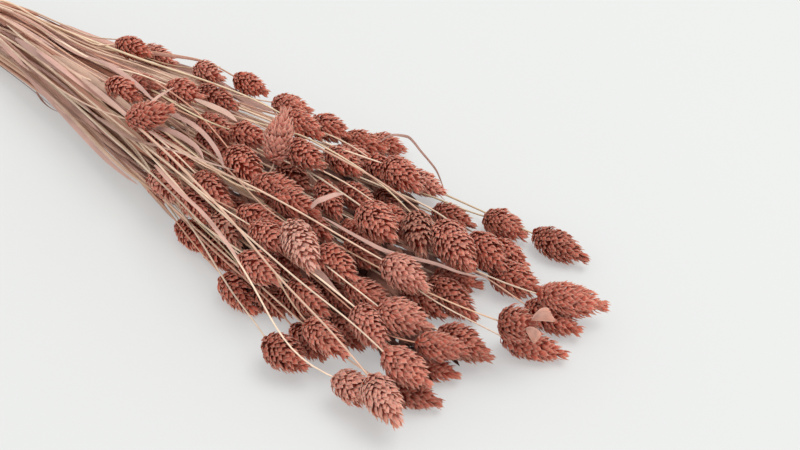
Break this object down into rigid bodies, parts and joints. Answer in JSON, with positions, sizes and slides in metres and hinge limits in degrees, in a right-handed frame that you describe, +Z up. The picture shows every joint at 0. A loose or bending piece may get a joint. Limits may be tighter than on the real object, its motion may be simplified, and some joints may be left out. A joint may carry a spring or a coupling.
{
  "type": "dried grass bunch",
  "caption": "Tied bunch of dried, rose-dyed canary grass lying on its side, straw stems fanning out to bristly oval seed heads.",
  "frame": {"origin": "middle of the bunch's footprint, on the surface it lies on", "axes": "+X from the cut ends towards the seed heads, +Y across the bunch, +Z up from the surface"},
  "size_m": [0.6778, 0.1896, 0.0753],
  "materials": {
    "seed_head": "matt dyed papery scales",
    "straw": "dry straw stems with dusty pink leaf blades",
    "twine": "plain natural-fibre twine"
  },
  "bodies": {
    "root": {"tie": "twine", "stems": "straw", "head_01": "seed_head", "head_02": "seed_head", "head_clump_03": "seed_head", "head_04": "seed_head", "head_clump_05": "seed_head", "head_06": "seed_head", "head_07": "seed_head", "head_clump_08": "seed_head", "head_09": "seed_head", "head_10": "seed_head", "head_clump_11": "seed_head", "head_clump_12": "seed_head", "head_13": "seed_head", "head_14": "seed_head", "head_15": "seed_head", "head_clump_16": "seed_head", "head_clump_17": "seed_head", "head_clump_18": "seed_head", "head_19": "seed_head", "head_20": "seed_head", "head_clump_21": "seed_head", "head_22": "seed_head", "head_23": "seed_head", "head_24": "seed_head", "head_clump_25": "seed_head", "head_clump_26": "seed_head", "head_27": "seed_head", "head_clump_28": "seed_head", "head_clump_29": "seed_head", "head_clump_30": "seed_head", "head_clump_31": "seed_head", "head_32": "seed_head", "head_clump_33": "seed_head", "head_34": "seed_head", "head_35": "seed_head", "head_clump_36": "seed_head", "head_37": "seed_head", "head_clump_38": "seed_head", "head_39": "seed_head", "head_40": "seed_head", "head_41": "seed_head", "head_clump_42": "seed_head", "head_43": "seed_head", "head_44": "seed_head", "head_45": "seed_head", "head_clump_46": "seed_head", "head_clump_47": "seed_head", "head_48": "seed_head", "head_49": "seed_head", "head_clump_50": "seed_head", "head_51": "seed_head", "head_52": "seed_head", "head_clump_53": "seed_head", "head_54": "seed_head", "head_55": "seed_head", "head_56": "seed_head", "head_57": "seed_head", "head_58": "seed_head"}
  },
  "joints": []
}
